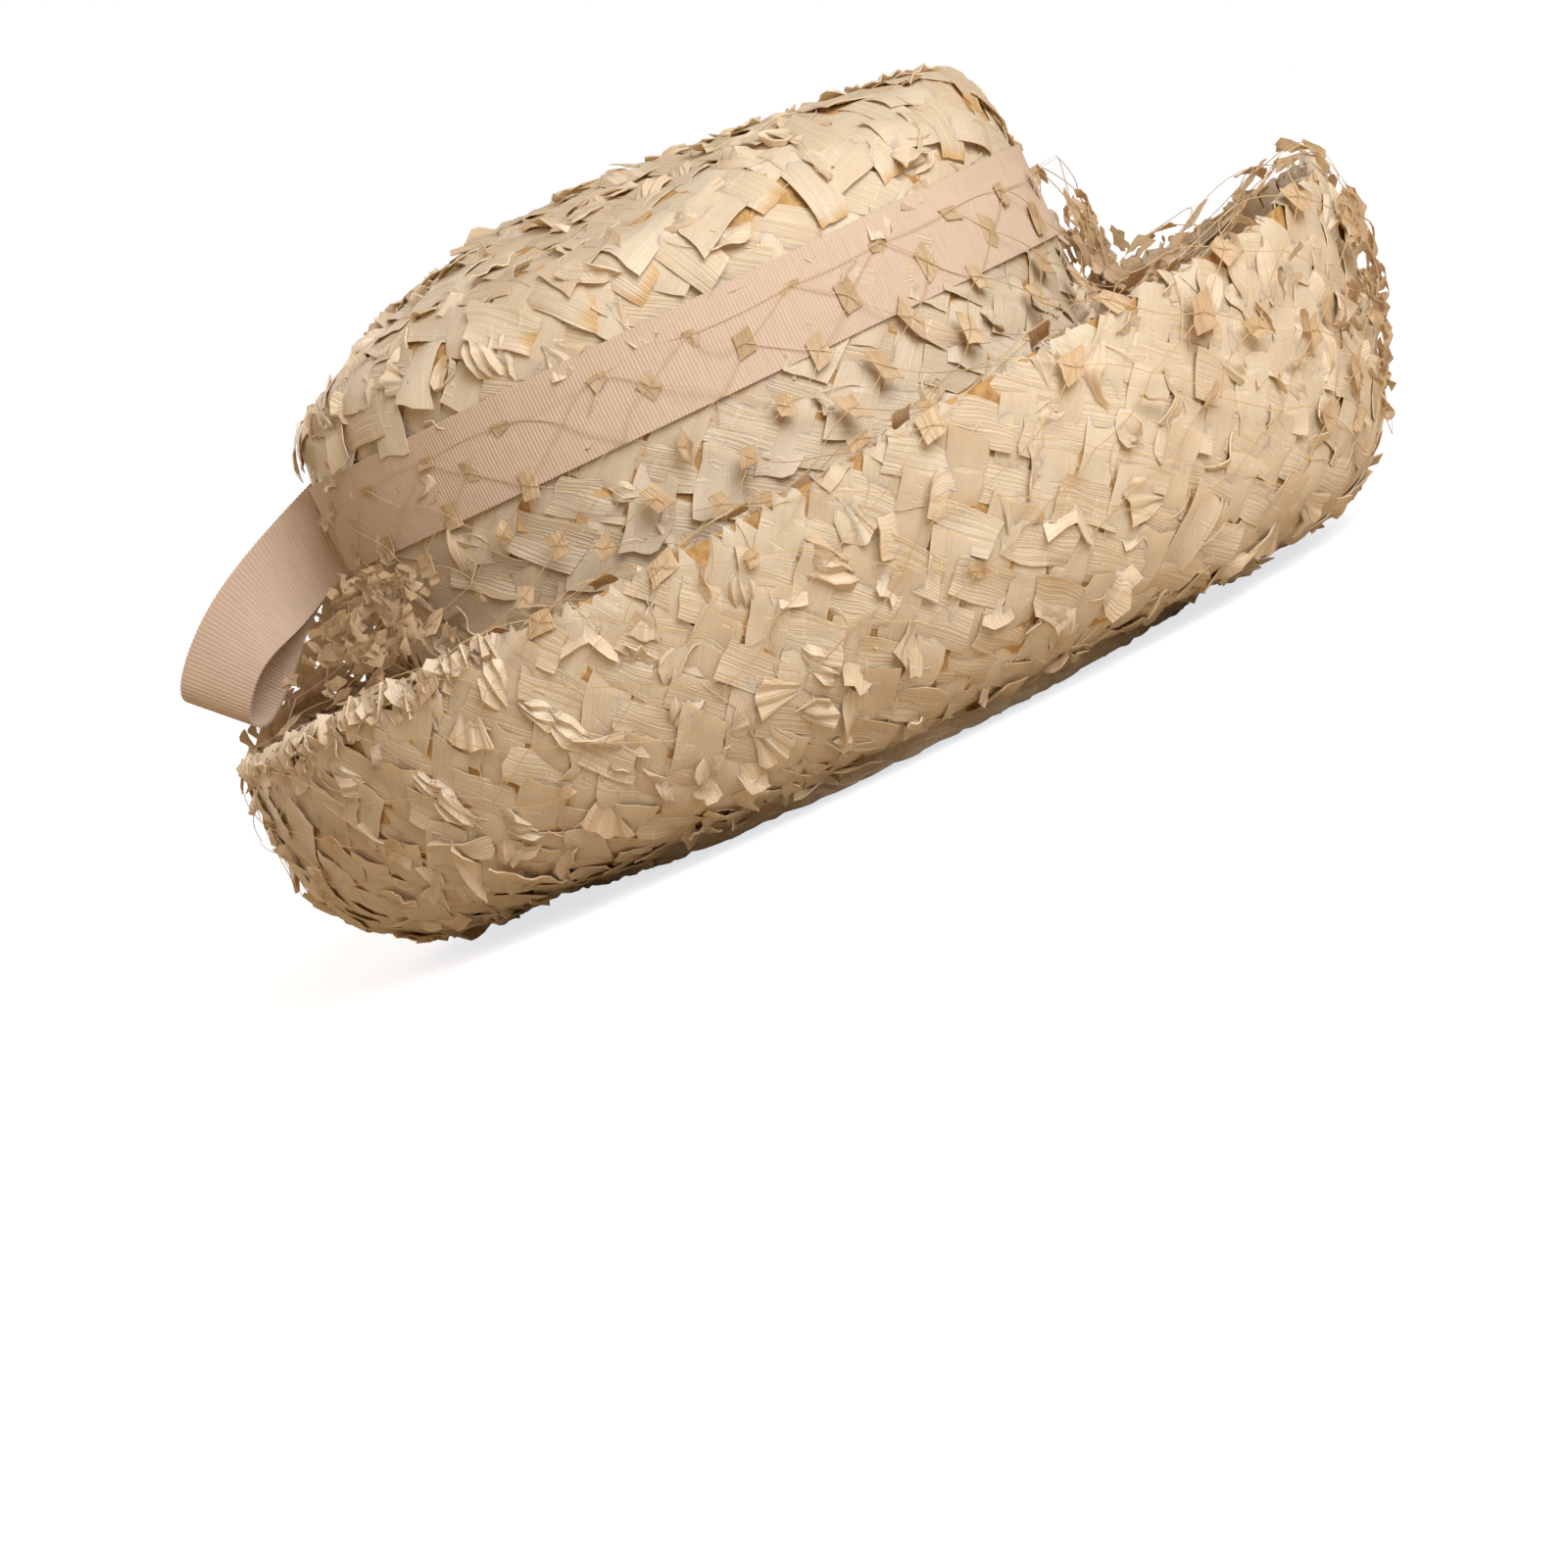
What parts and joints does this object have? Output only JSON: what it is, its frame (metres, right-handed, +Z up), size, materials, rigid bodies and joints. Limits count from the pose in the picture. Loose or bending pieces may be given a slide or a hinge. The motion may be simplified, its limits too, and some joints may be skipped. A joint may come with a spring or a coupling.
{
  "type": "breton hat",
  "caption": "Cream woven-straw breton hat with a tall rounded crown, a brim turned up all round, a grosgrain band with a back loop and a flecked net veil",
  "frame": {"origin": "on the surface the hat rests on, under the middle of its box", "axes": "+X to the front of the hat, +Y to the wearer's left, +Z up"},
  "size_m": [0.3416, 0.271, 0.1685],
  "materials": {
    "straw": "woven, satin",
    "ribbon": "ribbed, matte",
    "net": "open net, translucent flecks"
  },
  "bodies": {
    "root": {"crown": "straw", "brim": "straw", "hat_band": "ribbon", "bow_loop": "ribbon", "veil": "net"}
  },
  "joints": []
}
